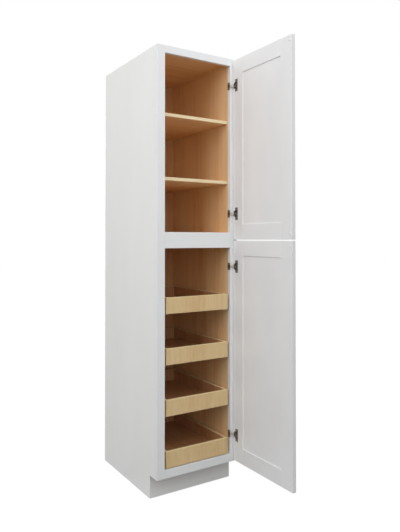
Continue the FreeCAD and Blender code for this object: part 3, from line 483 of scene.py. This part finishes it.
def grow(name, points, facings, tree, inputs):
    """Run a tree over points that each face a way, and keep what it makes as a plain mesh."""
    seeds = bpy.data.meshes.new(name + "_points")
    seeds.from_pydata(points, [], [])
    looks = seeds.attributes.new("facing", "FLOAT_VECTOR", "POINT")
    for index, way in enumerate(facings):
        looks.data[index].vector = way
    source = bpy.data.objects.new(name + "_points", seeds)
    bpy.context.scene.collection.objects.link(source)
    modifier = source.modifiers.new("nodes", "NODES")
    modifier.node_group = tree
    for item in tree.interface.items_tree:
        if item.in_out == "INPUT" and item.name in inputs:
            modifier[item.identifier] = inputs[item.name]
    evaluated = source.evaluated_get(bpy.context.evaluated_depsgraph_get())
    mesh = bpy.data.meshes.new_from_object(evaluated)
    mesh.name = name
    bpy.data.objects.remove(source)
    piece = bpy.data.objects.new(name, mesh)
    bpy.context.scene.collection.objects.link(piece)
    return piece


def screws(name, body, points, facings, radius, height, finish):
    """Screw heads at points on one body."""
    piece = grow(name, points, facings, SCREWS, {
        "Head Radius": radius, "Head Height": height, "Finish": finish})
    settle(piece, body)
    return piece


def loose_parts(node):
    """The low and high corners of each separate solid of a CAD node."""
    shape = bmesh.new()
    shape.from_mesh(NODES[node].data)
    bmesh.ops.remove_doubles(shape, verts=shape.verts, dist=MERGE_DISTANCE)
    waiting = set(shape.verts)
    parts = []
    while waiting:
        reached = [waiting.pop()]
        corners = []
        while reached:
            vertex = reached.pop()
            corners.append(vertex.co.copy())
            for edge in vertex.link_edges:
                other = edge.other_vert(vertex)
                if other in waiting:
                    waiting.remove(other)
                    reached.append(other)
        low = Vector([min(corner[axis] for corner in corners) for axis in range(3)])
        high = Vector([max(corner[axis] for corner in corners) for axis in range(3)])
        parts.append((low, high))
    shape.free()
    return sorted(parts, key=lambda part: (round(part[0].z, 4), part[0].x, part[0].y))


# Hinges and slides
SCREW_HEAD_RADIUS = 3.4 * MM
SCREW_HEAD_HEIGHT = 1.9 * MM
# The plain head of a CAD screw, whose outer face lies this far off its seat
PLAIN_HEAD_HEIGHT = 1.6 * MM
# The heads in the wings are nearly flat, so that they clear the face frame when the door closes
CUP_SCREW_HEAD_HEIGHT = 1.2 * MM
CUP_SCREW_INSET = 8.25 * MM
CUP_WING_WIDTH = 21 * MM
# A cam sits on the slanting strap, this far from the middle of the plate's back edge
CAM_RADIUS = 3.2 * MM
CAM_HEIGHT = 1.4 * MM
CAM_PLACE = Vector((6.8, -25.1, 0)) * MM
CAM_FACING = (-0.43, -0.903, 0)
SLIDE_SHEET = 1.5 * MM
RAIL_SCREW_INSET = 40 * MM
RAIL_SCREW_RISE = 21 * MM


def dress_hinges():
    """Plated arms and pins, with cross recess screws in the stile and the wings, and a cam on each arm."""
    dressed("hinge_arms", "_plated", {"rest": NICKEL}, SMALL_EASE)
    repaint("hinge_pins", NICKEL)
    heads = [Vector((low.x, (low.y + high.y) / 2, (low.z + high.z) / 2))
             for low, high in loose_parts("hinge_arm_screws")]
    base = [point + Vector((PLAIN_HEAD_HEIGHT, 0, 0)) for point in heads]
    piece = screws("hinge_arm_screw_heads", "cabinet", base, [(-1, 0, 0)] * len(base),
                   SCREW_HEAD_RADIUS, SCREW_HEAD_HEIGHT, NICKEL)
    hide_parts("hinge_arm_screws")
    cams = []
    for low, high in loose_parts("hinge_arms"):
        cams.append(Vector((low.x, high.y, (low.z + high.z) / 2)) + CAM_PLACE)
    screws("hinge_cam_screws", "cabinet", cams, [CAM_FACING] * len(cams), CAM_RADIUS,
           CAM_HEIGHT, NICKEL)
    for door in DOORS:
        points = []
        for low, high in loose_parts(door + "_hinge_cups"):
            for z in (low.z + CUP_SCREW_INSET, high.z - CUP_SCREW_INSET):
                points.append(Vector((low.x, low.y + CUP_WING_WIDTH / 2, z)))
        screws(door + "_cup_screws", door, points, [(-1, 0, 0)] * len(points),
               SCREW_HEAD_RADIUS, CUP_SCREW_HEAD_HEIGHT, NICKEL)


def dress_slides():
    """Galvanised rails, middles and runners, and the screws that hold the rails to the inner side panels."""
    repaint("slide_cabinet_rails", GALVANISED)
    for tray in TRAYS:
        repaint(tray + "_runners", GALVANISED)
        repaint(tray + "_slide_middles", GALVANISED)
    points = []
    facings = []
    for low, high in loose_parts("slide_cabinet_rails"):
        outward = 1 if low.x > 0 else -1
        wall = high.x if outward > 0 else low.x
        for y in (low.y + RAIL_SCREW_INSET, (low.y + high.y) / 2, high.y - RAIL_SCREW_INSET):
            points.append(Vector((wall - SLIDE_SHEET * outward, y, low.z + RAIL_SCREW_RISE)))
            facings.append((-outward, 0, 0))
    screws("slide_rail_screws", "cabinet", points, facings, SCREW_HEAD_RADIUS,
           SCREW_HEAD_HEIGHT, GALVANISED)


# A pad's rim is upright for this share of its height, and its crown has so many steps and sides
DOME_RIM = 0.35
DOME_STEPS = 5
DOME_SIDES = 28


def domes(name, body, node):
    """Small domed pads that stand in for the plain discs of a CAD node."""
    shape = bmesh.new()
    for low, high in loose_parts(node):
        middle = Vector((high.x, (low.y + high.y) / 2, (low.z + high.z) / 2))
        radius = (high.z - low.z) / 2
        height = high.x - low.x
        profile = [Vector((0, radius, 0)), Vector((-height * DOME_RIM, radius, 0))]
        for step in range(1, DOME_STEPS + 1):
            angle = math.pi / 2 * step / DOME_STEPS
            rise = DOME_RIM + (1 - DOME_RIM) * math.sin(angle)
            profile.append(Vector((-height * rise, radius * math.cos(angle), 0)))
        rows = [shape.verts.new(middle + point) for point in profile]
        edges = [shape.edges.new(pair) for pair in zip(rows, rows[1:])]
        bmesh.ops.spin(shape, geom=rows + edges, cent=middle, axis=(1, 0, 0), angle=math.tau,
                       steps=DOME_SIDES, use_merge=True)
    bmesh.ops.remove_doubles(shape, verts=shape.verts, dist=MERGE_DISTANCE)
    bmesh.ops.holes_fill(shape, edges=[edge for edge in shape.edges if edge.is_boundary])
    bmesh.ops.recalc_face_normals(shape, faces=shape.faces)
    for face in shape.faces:
        face.smooth = True
    mesh = bpy.data.meshes.new(name)
    shape.to_mesh(mesh)
    shape.free()
    mesh.materials.append(BUMPER)
    piece = bpy.data.objects.new(name, mesh)
    bpy.context.scene.collection.objects.link(piece)
    settle(piece, body)
    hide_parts(node)


# Floor, light and camera
WHITE_ENOUGH = 0.93
FLOOR_GREY = "#6C6C6C"
FLOOR_SIZE = 40.0
FLOOR_DROP = 0.5 * MM


def seen_directly(tree):
    """One where a camera, glossy or transmission ray looks at the surface, else nothing."""
    rays = add(tree, "ShaderNodeLightPath", {}).outputs
    two = add(tree, "ShaderNodeMath", {0: rays["Is Camera Ray"], 1: rays["Is Glossy Ray"]}, operation="ADD")
    three = add(tree, "ShaderNodeMath", {0: two.outputs[0], 1: rays["Is Transmission Ray"]},
                operation="ADD", use_clamp=True)
    return three.outputs[0]


def build_floor():
    """A plain pale floor that the camera sees as white, with the cabinet's soft shadow on it."""
    half = FLOOR_SIZE / 2
    mesh = bpy.data.meshes.new("floor")
    corners = [(-half, -half, -FLOOR_DROP), (half, -half, -FLOOR_DROP), (half, half, -FLOOR_DROP),
               (-half, half, -FLOOR_DROP)]
    mesh.from_pydata(corners, [], [(0, 1, 2, 3)])
    floor = bpy.data.objects.new("floor", mesh)
    bpy.context.scene.collection.objects.link(floor)
    material = bpy.data.materials.new("pale_studio_floor")
    material.use_nodes = True
    tree = material.node_tree
    tree.nodes.clear()
    matt = add(tree, "ShaderNodeBsdfDiffuse", {"Color": linear(FLOOR_GREY)})
    strength = add(tree, "ShaderNodeMath", {0: seen_directly(tree), 1: WHITE_ENOUGH}, operation="MULTIPLY")
    glow = add(tree, "ShaderNodeEmission", {"Color": linear("#FFFFFF"), "Strength": strength.outputs[0]})
    both = add(tree, "ShaderNodeAddShader", {0: matt.outputs["BSDF"], 1: glow.outputs["Emission"]})
    add(tree, "ShaderNodeOutputMaterial", {"Surface": both.outputs["Shader"]})
    mesh.materials.append(material)


AMBIENT = 0.5
LAMPS = (
    ("left soft box", (-3.3, -1.1, 2.8), 3.2, 70.0),
    ("front soft box", (-0.9, -3.9, 2.3), 3.0, 22.0),
    ("high soft box", (0.0, -2.8, 4.2), 3.0, 39.0),
)
LAMP_AIM = (0, -0.4, 1.4)


def build_light():
    """An even white room, with wide soft lamps on the left, in front and overhead."""
    world = bpy.data.worlds.new("white studio")
    bpy.context.scene.world = world
    world.use_nodes = True
    tree = world.node_tree
    tree.nodes.clear()
    level = add(tree, "ShaderNodeMapRange", {"Value": seen_directly(tree), "To Min": AMBIENT, "To Max": 1.0})
    sky = add(tree, "ShaderNodeBackground", {
        "Color": linear("#FFFFFF"), "Strength": level.outputs["Result"]})
    add(tree, "ShaderNodeOutputWorld", {"Surface": sky.outputs["Background"]})
    for name, place, size, power in LAMPS:
        lamp = bpy.data.lights.new(name, "AREA")
        lamp.shape = "SQUARE"
        lamp.size = size
        lamp.energy = power
        holder = bpy.data.objects.new(name, lamp)
        bpy.context.scene.collection.objects.link(holder)
        holder.location = place
        aim = Vector(LAMP_AIM) - Vector(place)
        holder.rotation_euler = aim.to_track_quat("-Z", "Y").to_euler()


# The camera was fitted to the photograph's corners: the image is 400 by 532 pixels
IMAGE_HEIGHT = 532
FOCAL_PIXELS = 549.5
HORIZON_ROW = 230.8
CAMERA_PLACE = (-1.4304, -2.8622, 1.2193)
CAMERA_YAW = math.radians(32.545)
CAMERA_PITCH = math.radians(0.912)
SENSOR = 36.0


def build_camera():
    """The photograph's eye: a little above the middle of the cabinet, and to the left of it."""
    camera = bpy.data.cameras.new("photo camera")
    camera.sensor_width = SENSOR
    camera.lens = SENSOR * FOCAL_PIXELS / IMAGE_HEIGHT
    camera.shift_y = (HORIZON_ROW - IMAGE_HEIGHT / 2) / IMAGE_HEIGHT
    holder = bpy.data.objects.new("photo camera", camera)
    bpy.context.scene.collection.objects.link(holder)
    level = math.cos(CAMERA_PITCH)
    aim = Vector((math.sin(CAMERA_YAW) * level, math.cos(CAMERA_YAW) * level, math.sin(CAMERA_PITCH)))
    holder.matrix_world = Matrix.Translation(CAMERA_PLACE) @ aim.to_track_quat("-Z", "Y").to_matrix().to_4x4()
    bpy.context.scene.camera = holder


dress_carcass()
dress_face_frame()
for door in DOORS:
    dress_door(door)
    domes(door + "_soft_bumpers", door, door + "_bumpers")
for tray in TRAYS:
    dress_tray(tray)
dressed("shelf_pins", "_moulded", {"rest": CLEAR}, SMALL_EASE)
dress_hinges()
dress_slides()
build_floor()
build_light()
build_camera()
bpy.context.scene.view_settings.view_transform = "Standard"
